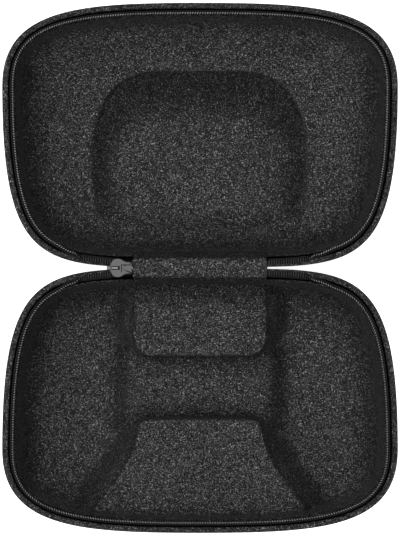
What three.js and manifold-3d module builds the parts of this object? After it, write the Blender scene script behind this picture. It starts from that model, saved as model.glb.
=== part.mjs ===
// Headphone carrying case, opened flat. Millimetres, +Z up, +Y towards the lid, the fold along X.
import * as THREE from "three";
import * as BufferGeometryUtils from "three/addons/utils/BufferGeometryUtils.js";
import Module from "manifold-3d";

const wasm = await Module();
wasm.setup();

// ---- driving dimensions ----
const HALF_WIDTH = 106;
const HALF_DEPTH = 142;
const RIM = 36; // height of each half's rim over the table
const FOLD_GAP = 0.5; // from the middle plane to the outline at the fold
const WIDEST_AT = 97.3; // distance of the widest line from the middle plane
const FAR_PULL = [64.1, 42.4]; // Bezier handle lengths of the rounded far end
const NEAR_PULL = [103.9, 81.5]; // Bezier handle lengths towards the fold
const ROUND = 32; // stations along half of one outline

const DRAFT = 2.4; // lean of the wall between the rim and the bottom radius
const CORNER = 20; // bottom radius of the outside
const CLEAR = 0.3; // gap between neighbouring pieces
const COVER = 1.2; // felt cover
const CORE_FACE = 1.5;
const CORE_REBATE = 3.9; // where the zip tape is tucked in
const CORE_BACK = 5.1;
const LINING_FACE = 5.4;
const LINING_BACK = 6.6;
const LIP = 3.2; // width of the turned-in felt edge

const TAPE = { near: 4.6, far: 5.1, low: RIM - 9, high: RIM + 3 };
const COIL = { near: 5.4, far: 6.7, low: RIM + 1.6, high: RIM + 4.55 };
const FLAT_TAPE = { near: 1.6, far: 4.6, low: RIM + 0.3, high: RIM + 0.8 };
const FLAT_COIL = { near: 1.2, far: 4.15, low: RIM + 1.1, high: RIM + 2.4 };
const CHAIN_START = 36.6; // |x| where the zip ends run under the spine felt
const LEFT_FLAT_END = 60;
const LEFT_TWIST_END = 69;
const RIGHT_FLAT_END = 53.5;
const RIGHT_TWIST_END = 63;

const SPINE_HALF = 36.1;
const SPINE_REACH = 4.55;
const PANEL_DROP = 3; // the lid's arched panel stands this far out of it

// ---- materials ----
const COLOURS = {
  felt: 0x35353a,
  core: 0x1a1a1c,
  weave: 0x1b1b1e,
  nylon: 0x4a4a4e,
  metal: 0x8a8a8a,
  leather: 0x8a6a48,
  thread: 0xb39a78,
};

const group = new THREE.Group();
group.name = "headphone_case";

function place(name, geometry, slot) {
  const material = new THREE.MeshStandardMaterial({ color: COLOURS[slot] });
  material.name = slot;
  if (slot === "metal") {
    material.metalness = 1;
    material.roughness = 0.45;
  } else {
    material.roughness = 0.95;
  }
  const mesh = new THREE.Mesh(geometry, material);
  mesh.name = name;
  group.add(mesh);
}

// ---- solids from rings ----
function toSolid(geometry) {
  const bare = geometry.clone();
  bare.deleteAttribute("normal");
  bare.deleteAttribute("uv");
  const merged = BufferGeometryUtils.mergeVertices(bare, 1e-4);
  const mesh = new wasm.Mesh({
    numProp: 3,
    vertProperties: new Float32Array(merged.attributes.position.array),
    triVerts: new Uint32Array(merged.index.array),
  });
  return new wasm.Manifold(mesh);
}

function toGeometry(solid) {
  const mesh = solid.getMesh();
  const geometry = new THREE.BufferGeometry();
  geometry.setAttribute("position", new THREE.BufferAttribute(new Float32Array(mesh.vertProperties), 3));
  geometry.setIndex(new THREE.BufferAttribute(new Uint32Array(mesh.triVerts), 1));
  return geometry;
}

// Rings of equal length, joined in turn; both ends are closed by a fan.
function loft(rings) {
  const count = rings[0].length;
  const points = rings.flat();
  const faces = [];
  for (let r = 0; r + 1 < rings.length; r += 1) {
    for (let i = 0; i < count; i += 1) {
      const j = (i + 1) % count;
      const a = r * count + i;
      const b = r * count + j;
      faces.push(a, b, b + count, a, b + count, a + count);
    }
  }
  const last = (rings.length - 1) * count;
  for (const [start, flip] of [[0, true], [last, false]]) {
    const middle = new THREE.Vector3();
    for (let i = 0; i < count; i += 1) {
      middle.addScaledVector(points[start + i], 1 / count);
    }
    points.push(middle);
    for (let i = 0; i < count; i += 1) {
      const a = start + i;
      const b = start + ((i + 1) % count);
      faces.push(...(flip ? [b, a, points.length - 1] : [a, b, points.length - 1]));
    }
  }
  const geometry = new THREE.BufferGeometry().setFromPoints(points);
  geometry.setIndex(faces);
  let volume = 0;
  for (let f = 0; f < faces.length; f += 3) {
    const [a, b, c] = [points[faces[f]], points[faces[f + 1]], points[faces[f + 2]]];
    volume += a.dot(new THREE.Vector3().crossVectors(b, c));
  }
  if (volume < 0) {
    for (let f = 0; f < faces.length; f += 3) {
      [faces[f], faces[f + 1]] = [faces[f + 1], faces[f]];
    }
    geometry.setIndex(faces);
  }
  return geometry;
}

function box(x0, x1, y0, y1, z0, z1) {
  const geometry = new THREE.BoxGeometry(x1 - x0, y1 - y0, z1 - z0);
  geometry.translate((x0 + x1) / 2, (y0 + y1) / 2, (z0 + z1) / 2);
  return geometry;
}

// ---- outline of one half, from the fold round the far end and back ----
function halfOutline() {
  const far = new THREE.CubicBezierCurve(
    new THREE.Vector2(HALF_WIDTH, WIDEST_AT),
    new THREE.Vector2(HALF_WIDTH, WIDEST_AT + FAR_PULL[1]),
    new THREE.Vector2(FAR_PULL[0], HALF_DEPTH),
    new THREE.Vector2(0, HALF_DEPTH),
  );
  const near = new THREE.CubicBezierCurve(
    new THREE.Vector2(0, FOLD_GAP),
    new THREE.Vector2(NEAR_PULL[1], FOLD_GAP),
    new THREE.Vector2(HALF_WIDTH, WIDEST_AT - NEAR_PULL[0]),
    new THREE.Vector2(HALF_WIDTH, WIDEST_AT),
  );
  const path = new THREE.CurvePath();
  path.add(near);
  path.add(far);
  return path;
}

const OUTLINE = halfOutline();

// Point and inward normal at u: 0 is the fold's middle, 1 the far end's middle, on the +X side.
function station(u) {
  const point = OUTLINE.getPointAt(u);
  const tangent = OUTLINE.getTangentAt(u);
  return { point, inward: new THREE.Vector2(-tangent.y, tangent.x) };
}

const STATIONS = [];
for (let i = 0; i <= ROUND; i += 1) {
  STATIONS.push(station(i / ROUND));
}
for (let i = ROUND - 1; i > 0; i -= 1) {
  const { point, inward } = STATIONS[i];
  STATIONS.push({
    point: new THREE.Vector2(-point.x, point.y),
    inward: new THREE.Vector2(-inward.x, inward.y),
  });
}

function lean(z) {
  return (DRAFT * Math.max(0, RIM - z)) / (RIM - CORNER);
}

function insetRing(inset, z, side) {
  return STATIONS.map(({ point, inward }) => {
    const at = point.clone().addScaledVector(inward, inset);
    return new THREE.Vector3(at.x, side * at.y, z);
  });
}

// A bowl-shaped solid: the half's outside moved in by depth, filled up to top.
function bowl(depth, top, side, floor = 0) {
  const radius = CORNER - depth;
  const middle = CORNER + floor;
  const rings = [];
  for (let step = 3; step >= 0; step -= 1) {
    const angle = (step * Math.PI) / 6;
    const inset = lean(middle) + CORNER - radius * Math.cos(angle);
    rings.push(insetRing(inset, middle - radius * Math.sin(angle), side));
  }
  rings.push(insetRing(depth + lean(top), top, side));
  return toSolid(loft(rings));
}

function slab(depth, z0, z1, side) {
  return toSolid(loft([insetRing(depth + lean(z0), z0, side), insetRing(depth + lean(z1), z1, side)]));
}

// ---- relief outlines: rounded polygons given by corner and radius ----
function rounded(corners, steps = 4) {
  const points = [];
  corners.forEach(([x, y, radius], index) => {
    const before = corners[(index + corners.length - 1) % corners.length];
    const after = corners[(index + 1) % corners.length];
    const corner = new THREE.Vector2(x, y);
    const start = new THREE.Vector2(before[0], before[1]).sub(corner).setLength(radius).add(corner);
    const end = new THREE.Vector2(after[0], after[1]).sub(corner).setLength(radius).add(corner);
    for (let i = 0; i <= steps; i += 1) {
      const t = i / steps;
      const x2 = (1 - t) ** 2 * start.x + 2 * t * (1 - t) * corner.x + t ** 2 * end.x;
      const y2 = (1 - t) ** 2 * start.y + 2 * t * (1 - t) * corner.y + t ** 2 * end.y;
      points.push(new THREE.Vector2(x2, y2));
    }
  });
  return points;
}

// A pad whose top outline follows height(x, y) and whose sides run out to the foot outline.
function pad(top, foot, footZ, height) {
  const rings = [
    foot.map((p) => new THREE.Vector3(p.x, p.y, footZ)),
    top.map((p) => new THREE.Vector3(p.x, p.y, height(p.x, p.y))),
  ];
  return toSolid(loft(rings));
}

function mirrored(corners) {
  const other = corners.map(([x, y, radius]) => [-x, y, radius]).reverse();
  return [...corners, ...other];
}

// ---- openings cut through both halves under the spine and the slider ----
const SPINE_NOTCH = toSolid(box(-63.5, 37, -4.9, 4.9, RIM - 1.6, RIM + 9));
const PULL_SLOT = toSolid(box(-63, -37, -3.4, 3.4, RIM - 9, RIM + 9));

function notched(solid) {
  return solid.subtract(SPINE_NOTCH).subtract(PULL_SLOT);
}

// ---- the arched panel moulded into the lid ----
const ARCH = mirrored([
  [34, 104.7, 12],
  [58, 92, 20],
  [59.5, 60, 14],
  [55, 20, 8],
]);
const ARCH_MIDDLE = new THREE.Vector2(0, 62);

function archInset(inset) {
  return rounded(ARCH).map((p) => {
    const way = ARCH_MIDDLE.clone().sub(p);
    return p.clone().addScaledVector(way, inset / way.length());
  });
}

function archPanel(depth) {
  const foot = archInset(depth);
  const rings = [depth, 10].map((z) => foot.map((p) => new THREE.Vector3(p.x, p.y, z)));
  return toSolid(loft(rings));
}

function half(name, side) {
  const isLid = side > 0;
  const floor = isLid ? PANEL_DROP : 0;
  const layer = (depth, top) => {
    const solid = bowl(depth, top, side, floor);
    return isLid ? solid.add(archPanel(depth)) : solid;
  };

  const cover = layer(0, RIM)
    .subtract(layer(COVER, RIM - COVER))
    .subtract(slab(LIP, RIM - COVER - 0.5, RIM + 1, side));
  place(`${name}_outer_cover`, toGeometry(notched(cover)), "felt");

  const core = layer(CORE_FACE, RIM - CORE_FACE)
    .subtract(layer(CORE_BACK, RIM - CORE_FACE - 0.5))
    .subtract(slab(CORE_REBATE, TAPE.low - CLEAR, RIM, side));
  place(`${name}_shell_core`, toGeometry(notched(core)), "core");

  const hollow = layer(LINING_BACK, RIM + 1);
  const keep = layer((LINING_FACE + LINING_BACK) / 2, RIM - 3);
  const pads = isLid ? lidPad() : basePads();
  const lining = layer(LINING_FACE, RIM - 2).subtract(hollow).add(pads.intersect(keep));
  place(isLid ? "lid_lining" : "base_insert_tray", toGeometry(notched(lining)), "felt");
}

// Two islands and the lower bridge between them; the wells for the ear cups lie left and right.
function basePads() {
  const upperTop = mirrored([
    [26, -48, 6],
    [36, -39, 8],
    [35, -12, 6],
  ]);
  const upperFoot = mirrored([
    [28, -48.4, 6],
    [49, -42, 9],
    [50, -1, 3],
  ]);
  const upper = pad(rounded(upperTop), rounded(upperFoot), 5.8, (x, y) => 25 + (-12 - y) * 0.16);

  const lowerTop = mirrored([
    [33, -81.5, 5],
    [36, -100, 10],
    [50, -122, 12],
    [46, -131, 5],
  ]);
  const lowerFoot = mirrored([
    [34, -81.1, 5],
    [47, -97, 10],
    [64, -118, 12],
    [62, -139, 5],
  ]);
  const lower = pad(rounded(lowerTop), rounded(lowerFoot), 5.8, (x, y) => (y > -112 ? 28 : 24));

  const bridgeTop = mirrored([
    [37, -49, 2],
    [37, -80.5, 2],
  ]);
  const bridgeFoot = mirrored([
    [50, -44, 2],
    [50, -86, 2],
  ]);
  const bridge = pad(rounded(bridgeTop), rounded(bridgeFoot), 5.8, () => 19.5);
  return upper.add(lower).add(bridge);
}

// The raised middle of the lid's lining, with a groove left between it and the arch.
function lidPad() {
  const top = mirrored([
    [20, 62, 10],
    [31, 46, 8],
    [29, 28, 8],
  ]);
  const foot = mirrored([
    [37, 84, 14],
    [47, 50, 12],
    [43, 13, 8],
  ]);
  return pad(rounded(top), rounded(foot), 5.6, () => 13);
}

// ---- zip: bands of rectangular section, standing on the rims and lying flat on the spine ----
// heads: where the open edge points; 0 = flat, towards the middle plane, 1 = upright.
// slant: how far the other edge leans inward, to follow the drafted wall.
function bandSection({ middle, inward, turn, long, thick, slant }) {
  const angle = (turn * Math.PI) / 2;
  const up = new THREE.Vector3(0, 0, 1);
  const heads = inward.clone().multiplyScalar(-Math.cos(angle)).addScaledVector(up, Math.sin(angle));
  const face = up.clone().multiplyScalar(Math.cos(angle)).addScaledVector(inward, Math.sin(angle));
  return [[-1, -1], [1, -1], [1, 1], [-1, 1]].map(([a, b]) =>
    middle
      .clone()
      .addScaledVector(heads, (a * long) / 2)
      .addScaledVector(face, (b * thick) / 2)
      .addScaledVector(inward, a < 0 ? slant : 0),
  );
}

function band(sections) {
  return loft(sections.map(bandSection));
}

// u on the fold's side of the outline where it is x wide
function outlineAt(x) {
  let low = 0;
  let high = 0.4;
  for (let i = 0; i < 40; i += 1) {
    const middle = (low + high) / 2;
    if (OUTLINE.getPointAt(middle).x < x) {
      low = middle;
    } else {
      high = middle;
    }
  }
  return low;
}

function uprightSection(u, mirror, side, part, low) {
  const { point, inward } = station(u);
  const z = (low + part.high) / 2;
  const at = point.clone().addScaledVector(inward, (part.near + part.far) / 2);
  return {
    middle: new THREE.Vector3(mirror * at.x, side * at.y, z),
    inward: new THREE.Vector3(mirror * inward.x, side * inward.y, 0),
    turn: 1,
    long: part.high - low,
    thick: part.far - part.near,
    slant: 0.85 * lean(low),
  };
}

function flatSection(x, side, part, near = part.near) {
  return {
    middle: new THREE.Vector3(x, (side * (near + near + part.far - part.near)) / 2, (part.low + part.high) / 2),
    inward: new THREE.Vector3(0, side, 0),
    turn: 0,
    long: part.far - part.near,
    thick: part.high - part.low,
    slant: 0,
  };
}

function blendSections(from, to, t) {
  const mix = (a, b) => a + (b - a) * t;
  return {
    middle: from.middle.clone().lerp(to.middle, t),
    inward: from.inward.clone().lerp(to.inward, t).normalize(),
    turn: mix(from.turn, to.turn),
    long: mix(from.long, to.long),
    thick: mix(from.thick, to.thick),
    slant: mix(from.slant, to.slant),
  };
}

const SIDES = { base: -1, lid: 1 };
const ENDS = {
  right: { mirror: 1, flatEnd: RIGHT_FLAT_END, twistEnd: RIGHT_TWIST_END },
  left: { mirror: -1, flatEnd: LEFT_FLAT_END, twistEnd: LEFT_TWIST_END },
};
const PARTS = {
  tape: { upright: TAPE, flat: FLAT_TAPE, slot: "weave", freeLow: RIM + 0.3 },
  coil: { upright: COIL, flat: FLAT_COIL, slot: "nylon", freeLow: COIL.low },
};
const TAPE_RISE = 0.05; // share of the outline over which the tape climbs out of the rim

function rimBand(side, { upright, freeLow }) {
  const starts = Object.values(ENDS).map(({ twistEnd }) => outlineAt(twistEnd));
  const sections = [];
  for (const [end, start] of starts.entries()) {
    const mirror = end === 0 ? 1 : -1;
    const way = [];
    for (let i = Math.floor(start * ROUND); i <= ROUND; i += 1) {
      const u = Math.max(start + 0.002, i / ROUND);
      const climb = Math.max(0, 1 - (u - start) / TAPE_RISE);
      const low = upright.low + (freeLow - upright.low) * Math.min(1, climb * 1.6);
      way.push(uprightSection(u, mirror, side, upright, low));
    }
    sections.push(...(end === 0 ? way : way.reverse().slice(1)));
  }
  return band(sections);
}

function twistBand(side, { mirror, flatEnd, twistEnd }, { upright, flat, freeLow }) {
  const from = flatSection(mirror * (flatEnd + 0.3), side, flat);
  const to = uprightSection(outlineAt(twistEnd) - 0.001, mirror, side, upright, freeLow);
  const steps = 6;
  const sections = [];
  for (let i = 0; i <= steps; i += 1) {
    sections.push(blendSections(from, to, i / steps));
  }
  return band(sections);
}

function flatBand(side, { mirror, flatEnd }, { flat }) {
  const start = flat === FLAT_COIL && mirror < 0 ? 0.2 : flat.near;
  return band([
    flatSection(mirror * CHAIN_START, side, flat, start),
    flatSection(mirror * 44, side, flat),
    flatSection(mirror * flatEnd, side, flat),
  ]);
}

function zip() {
  for (const [halfName, side] of Object.entries(SIDES)) {
    for (const [partName, part] of Object.entries(PARTS)) {
      place(`${halfName}_zip_${partName}`, rimBand(side, part), part.slot);
      for (const [endName, end] of Object.entries(ENDS)) {
        place(`${halfName}_zip_${partName}_twist_${endName}`, twistBand(side, end, part), part.slot);
        place(`spine_zip_${partName}_${halfName}_${endName}`, flatBand(side, end, part), part.slot);
      }
    }
  }
}

// ---- spine: two felt strips, one inside and one outside ----
function strip(x, y, z0, z1, edge) {
  const ring = (dx, z) => [[-1, -1], [1, -1], [1, 1], [-1, 1]].map(([a, b]) =>
    new THREE.Vector3(a * (x - dx), b * (y - dx), z));
  return loft([ring(edge, z0), ring(0, z0 + edge), ring(0, z1 - edge), ring(edge, z1)]);
}

// ---- slider and pull ----
const NOSE = -47.9; // x of the slider's wide end's tip
const PLATE = 0.9;
const LOWER_PLATE = RIM - 0.9;
const UPPER_PLATE = RIM + 2.7;

function plateShape() {
  const half = [
    [0, 2], [0.5, 2.7], [2, 4.3], [3.6, 4.9], [5.2, 4.7], [8, 3.6], [11, 3.1], [11.7, 2.6],
  ];
  const points = half.map(([along, across]) => new THREE.Vector2(NOSE + along, across));
  const other = half.map(([along, across]) => new THREE.Vector2(NOSE + along, -across)).reverse();
  return new THREE.Shape([...points, ...other]);
}

function plate(z) {
  const geometry = new THREE.ExtrudeGeometry(plateShape(), { depth: PLATE, bevelEnabled: false });
  geometry.translate(0, 0, z);
  return toSolid(geometry);
}

function slider() {
  const post = box(NOSE + 0.6, NOSE + 4.4, -0.85, 0.85, RIM - 0.4, UPPER_PLATE + 0.2);
  let body = plate(LOWER_PLATE).add(plate(UPPER_PLATE)).add(toSolid(post));
  for (const side of [-1, 1]) {
    const flange = box(-45.2, -42.6, side * 4.65 - 0.2, side * 4.65 + 0.2, RIM + 1.1, UPPER_PLATE + 0.2);
    body = body.add(toSolid(flange));
  }
  const slot = box(NOSE + 0.6, NOSE + 4.9, -1, 1, UPPER_PLATE + 0.4, UPPER_PLATE + 2);
  place("slider_body", toGeometry(body.subtract(toSolid(slot))), "metal");
  place("slider_lock_bar", box(NOSE + 0.9, NOSE + 4.6, -0.65, 0.65, UPPER_PLATE + 0.7, UPPER_PLATE + 1.1), "metal");

  const cap = new THREE.Shape();
  cap.moveTo(NOSE + 0.1, 0);
  cap.lineTo(NOSE + 0.3, -2.6);
  cap.quadraticCurveTo(NOSE + 0.5, -3.4, NOSE + 1.6, -3.4);
  cap.lineTo(NOSE + 7.2, -3.1);
  cap.lineTo(NOSE + 8.6, 0);
  cap.lineTo(NOSE + 7.4, 0);
  cap.lineTo(NOSE + 6.5, -2.2);
  cap.lineTo(NOSE + 1.2, -2.4);
  cap.lineTo(NOSE + 1, 0);
  const geometry = new THREE.ExtrudeGeometry(cap, { depth: 1.4, bevelEnabled: false, curveSegments: 4 });
  geometry.rotateX(Math.PI / 2);
  geometry.translate(0, 0.7, LOWER_PLATE - CLEAR);
  place("slider_cap", geometry, "metal");
}

const PULL_PIVOT = new THREE.Vector3(NOSE + 1.9, 0, RIM - 2.55);
const PULL_LEAN = 0.16; // rest angle of the hanging pull, towards -X
const LINK = { length: 5.4, half: 1.45, wire: 0.45 };
const TAB = { start: 6.2, end: 27, half: 1.7, thick: 1.8 };

// Local frame of the pull: z runs down the pull from the pivot.
function hang(geometry) {
  geometry.rotateY(Math.PI + PULL_LEAN);
  geometry.translate(PULL_PIVOT.x, PULL_PIVOT.y, PULL_PIVOT.z);
  return geometry;
}

function pull() {
  const path = new THREE.CurvePath();
  const corners = [[-1, 0], [1, 0], [1, 1], [-1, 1]].map(([side, end]) =>
    new THREE.Vector3(0, side * LINK.half, end * LINK.length));
  const turn = 0.9;
  corners.forEach((corner, index) => {
    const next = corners[(index + 1) % 4];
    const after = corners[(index + 2) % 4];
    const from = corner.clone().lerp(next, turn / corner.distanceTo(next));
    const to = next.clone().lerp(corner, turn / corner.distanceTo(next));
    const out = next.clone().lerp(after, turn / after.distanceTo(next));
    path.add(new THREE.LineCurve3(from, to));
    path.add(new THREE.QuadraticBezierCurve3(to, next, out));
  });
  const wire = new THREE.TubeGeometry(path, 40, LINK.wire, 8, true);
  place("pull_link", hang(wire), "metal");

  const eye = new THREE.Shape();
  eye.absarc(0, LINK.length, 1.3, 0, Math.PI * 2);
  const hole = new THREE.Path();
  hole.absarc(0, LINK.length, 0.75, 0, Math.PI * 2);
  eye.holes.push(hole);
  const loop = new THREE.ExtrudeGeometry(eye, { depth: 1.3, bevelEnabled: false, curveSegments: 6 });
  loop.rotateX(Math.PI / 2);
  loop.translate(0, 0.65, 0);
  const ring = (inset, z) => [[-1, -1], [1, -1], [1, 1], [-1, 1]].map(([a, b]) =>
    new THREE.Vector3(a * (TAB.thick / 2 - inset), b * (TAB.half - inset), z));
  const tongue = loft([
    ring(0.3, TAB.start), ring(0, TAB.start + 0.5), ring(0, TAB.end - 0.6), ring(0.4, TAB.end),
  ]);
  place("pull_tab", hang(toGeometry(toSolid(loop).add(toSolid(tongue)))), "leather");
}

half("base", -1);
half("lid", 1);
zip();
place("spine_inner_felt", strip(SPINE_HALF, SPINE_REACH, RIM + 0.3, RIM + 1.5, 0.4), "felt");
place("spine_outer_felt", strip(SPINE_HALF, SPINE_REACH, RIM - 1.25, RIM - 0.1, 0.3), "felt");
slider();
pull();

export default group;
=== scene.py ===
import math

import bpy
import numpy as np
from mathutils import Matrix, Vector


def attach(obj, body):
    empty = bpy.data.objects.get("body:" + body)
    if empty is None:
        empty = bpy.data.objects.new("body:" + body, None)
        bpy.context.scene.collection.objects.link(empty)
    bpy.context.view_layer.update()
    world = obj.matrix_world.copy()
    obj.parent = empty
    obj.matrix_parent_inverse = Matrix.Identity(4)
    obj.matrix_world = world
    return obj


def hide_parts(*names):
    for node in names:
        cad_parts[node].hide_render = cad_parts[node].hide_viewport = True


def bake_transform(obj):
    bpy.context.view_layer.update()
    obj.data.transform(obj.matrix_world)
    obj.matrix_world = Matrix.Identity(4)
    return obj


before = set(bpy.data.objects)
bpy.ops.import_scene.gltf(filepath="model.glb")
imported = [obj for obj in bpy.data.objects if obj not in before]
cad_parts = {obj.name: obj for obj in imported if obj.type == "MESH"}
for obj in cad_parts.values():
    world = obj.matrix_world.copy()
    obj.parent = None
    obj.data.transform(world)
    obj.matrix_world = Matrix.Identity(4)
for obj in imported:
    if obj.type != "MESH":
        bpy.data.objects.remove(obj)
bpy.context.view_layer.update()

MM = 0.001

# ---------------------------------------------------------------- sizes, in mm
HALF_WIDTH = 106.0
HALF_DEPTH = 142.0
FOLD_GAP = 0.5
WIDEST_AT = 97.3
FAR_PULL = (64.1, 42.4)
NEAR_PULL = (103.9, 81.5)
RIM = 36.0
DRAFT = 2.4
CORNER = 20.0
PANEL_DROP = 3.0

COVER = 1.2
LINING_FACE = 5.4
LINING_BACK = 6.6
LINING_AT_FOLD = 29.5
CORE_TOP = RIM - 2.4
AROUND = 560  # stations round one half
CURVE_STEPS = 1500

TOOTH = 1.33
COIL_MIDDLE = 6.05
COIL_Z = RIM + 3.05
COIL_LONG = 1.42
COIL_THICK = 0.6
FLAT_COIL_Z = RIM + 1.75
CHAIN_START = 36.7
# mirror, end of the flat stretch and end of the twist, at each end of the fold
ENDS = {"right": (1, 53.5, 63.0), "left": (-1, 60.0, 69.0)}
SIDES = {"base": -1, "lid": 1}


# ---------------------------------------------------------------- mesh helpers
def smoothstep(t):
    t = np.clip(t, 0.0, 1.0)
    return t * t * (3 - 2 * t)


def make(name, points, faces, material, smooth=True):
    name = name if name.endswith("_look") else name + "_look"
    mesh = bpy.data.meshes.new(name)
    mesh.from_pydata([tuple(p) for p in np.asarray(points, float) * MM], [], [tuple(f) for f in faces])
    mesh.validate()
    mesh.update()
    if smooth:
        mesh.polygons.foreach_set("use_smooth", [True] * len(mesh.polygons))
    mesh.materials.append(material)
    obj = bpy.data.objects.new(name, mesh)
    bpy.context.scene.collection.objects.link(obj)
    return obj


def lofted(name, rings, material, smooth=True, capped=True, closed=True):
    """Quads between rings of equal length; each end closed by a fan."""
    rings = [np.asarray(r, float) for r in rings]
    count = len(rings[0])
    points = np.concatenate(rings)
    faces = []
    span = count if closed else count - 1
    index = np.arange(span)
    after = (index + 1) % count
    for r in range(len(rings) - 1):
        a, b = r * count, (r + 1) * count
        faces.append(np.stack([index + a, after + a, after + b, index + b], 1))
    quads = np.concatenate(faces)
    fans = []
    if capped:
        first, last = rings[0].mean(0), rings[-1].mean(0)
        base = len(points)
        points = np.vstack([points, first, last])
        top = (len(rings) - 1) * count
        for i, j in zip(index, after):
            fans.append((j, i, base))
            fans.append((top + i, top + j, base + 1))
    every = [tuple(q) for q in quads.tolist()] + fans
    sample = points[quads]
    signed = np.einsum(
        "ij,ij->i", sample[:, 0], np.cross(sample[:, 1], sample[:, 2])
    ).sum() + np.einsum("ij,ij->i", sample[:, 0], np.cross(sample[:, 2], sample[:, 3])).sum()
    if capped and fans:
        f = points[np.array(fans)]
        signed += np.einsum("ij,ij->i", f[:, 0], np.cross(f[:, 1], f[:, 2])).sum()
    if signed < 0:
        every = [tuple(reversed(q)) for q in every]
    return make(name, points, every, material, smooth)


def mark(obj, places):
    """Gives each point two values as UVs: its place along and across a band, or a mask."""
    layer = obj.data.uv_layers.new(name="band")
    index = np.empty(len(obj.data.loops), np.int32)
    obj.data.loops.foreach_get("vertex_index", index)
    layer.data.foreach_set("uv", places[index].astype(np.float32).ravel())


def baked(obj):
    """The object with its modifiers applied."""
    bpy.context.view_layer.update()
    graph = bpy.context.evaluated_depsgraph_get()
    mesh = bpy.data.meshes.new_from_object(obj.evaluated_get(graph))
    old = obj.data
    obj.modifiers.clear()
    obj.data = mesh
    bpy.data.meshes.remove(old)
    return obj


def carve(obj, cutters):
    for cutter in cutters:
        modifier = obj.modifiers.new("cut", "BOOLEAN")
        modifier.operation = "DIFFERENCE"
        modifier.solver = "MANIFOLD"
        modifier.material_mode = "TRANSFER"
        modifier.object = cutter
    baked(obj)
    for cutter in cutters:
        bpy.data.objects.remove(cutter)
    return obj


def joined(name, parts):
    """One object from several; materials are kept."""
    points, faces, slots, materials = [], [], [], []
    start = 0
    for part in parts:
        mesh = part.data
        own = np.array([part.matrix_world @ v.co for v in mesh.vertices]) / MM
        points.append(own)
        for polygon in mesh.polygons:
            faces.append([start + v for v in polygon.vertices])
            material = mesh.materials[polygon.material_index]
            if material not in materials:
                materials.append(material)
            slots.append(materials.index(material))
        start += len(own)
        bpy.data.objects.remove(part)
    obj = make(name, np.concatenate(points), faces, materials[0])
    for material in materials[1:]:
        obj.data.materials.append(material)
    obj.data.polygons.foreach_set("material_index", slots)
    return obj


# ---------------------------------------------------------------- outline
def bezier(points, count):
    p = np.array(points, float)
    t = np.linspace(0, 1, count)[:, None]
    return (1 - t) ** 3 * p[0] + 3 * (1 - t) ** 2 * t * p[1] + 3 * (1 - t) * t**2 * p[2] + t**3 * p[3]


def half_curve():
    near = bezier(
        [
            (0, FOLD_GAP),
            (NEAR_PULL[1], FOLD_GAP),
            (HALF_WIDTH, WIDEST_AT - NEAR_PULL[0]),
            (HALF_WIDTH, WIDEST_AT),
        ],
        CURVE_STEPS,
    )
    far = bezier(
        [
            (HALF_WIDTH, WIDEST_AT),
            (HALF_WIDTH, WIDEST_AT + FAR_PULL[1]),
            (FAR_PULL[0], HALF_DEPTH),
            (0, HALF_DEPTH),
        ],
        CURVE_STEPS,
    )
    points = np.vstack([near, far[1:]])
    step = np.hypot(*np.diff(points, axis=0).T)
    keep = np.concatenate([[True], step > 1e-9])
    points = points[keep]
    length = np.concatenate([[0], np.cumsum(np.hypot(*np.diff(points, axis=0).T))])
    tangent = np.gradient(points, length, axis=0)
    tangent /= np.linalg.norm(tangent, axis=1)[:, None]
    return points, length, tangent


CURVE, LENGTHS, TANGENTS = half_curve()
HALF_LENGTH = LENGTHS[-1]


def on_curve(s):
    """Points and inward normals at lengths s from the fold's middle, on the +X side of the lid."""
    s = np.asarray(s, float)
    point = np.stack([np.interp(s, LENGTHS, CURVE[:, k]) for k in (0, 1)], -1)
    way = np.stack([np.interp(s, LENGTHS, TANGENTS[:, k]) for k in (0, 1)], -1)
    way /= np.linalg.norm(way, axis=-1, keepdims=True)
    return point, np.stack([-way[..., 1], way[..., 0]], -1)


def loop(side, count=AROUND):
    """The closed outline of one half: points and inward normals, in row axes."""
    s = np.arange(count) * (2 * HALF_LENGTH / count)
    mirror = np.where(s > HALF_LENGTH, -1.0, 1.0)
    point, inward = on_curve(np.where(s > HALF_LENGTH, 2 * HALF_LENGTH - s, s))
    sign = np.stack([mirror, np.full(count, float(side))], -1)
    return point * sign, inward * sign


def length_at(x):
    """Length along the curve where it is x wide, on the fold's side."""
    near = LENGTHS < HALF_LENGTH * 0.45
    return float(np.interp(x, CURVE[near, 0], LENGTHS[near]))


def lean(z):
    return DRAFT * np.clip(RIM - z, 0, None) / (RIM - CORNER)


# ---------------------------------------------------------------- relief
def rounded(corners, steps=8):
    """A closed outline, symmetric about x = 0, with rounded corners (x, y, radius)."""
    every = list(corners) + [(-x, y, r) for x, y, r in reversed(corners)]
    points = []
    for i, (x, y, r) in enumerate(every):
        corner = np.array([x, y], float)
        before = np.array(every[i - 1][:2], float) - corner
        after = np.array(every[(i + 1) % len(every)][:2], float) - corner
        start = corner + before / np.linalg.norm(before) * r
        end = corner + after / np.linalg.norm(after) * r
        for t in np.linspace(0, 1, steps + 1):
            points.append((1 - t) ** 2 * start + 2 * t * (1 - t) * corner + t**2 * end)
    return np.array(points)


def distance(outline, x, y):
    """Signed distance to a closed outline, negative inside."""
    p = np.stack([x, y], -1)
    best = np.full(x.shape, 1e9)
    inside = np.zeros(x.shape, bool)
    for a, b in zip(outline, np.roll(outline, -1, 0)):
        edge = b - a
        size = edge @ edge
        if size < 1e-12:
            continue
        t = np.clip(((p - a) @ edge) / size, 0, 1)
        gap = p - a - t[..., None] * edge
        best = np.minimum(best, (gap**2).sum(-1))
        crosses = (a[1] > y) != (b[1] > y)
        if edge[1] != 0:
            inside ^= crosses & (x < a[0] + (y - a[1]) * edge[0] / edge[1])
    return np.where(inside, -1, 1) * np.sqrt(best)


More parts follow.
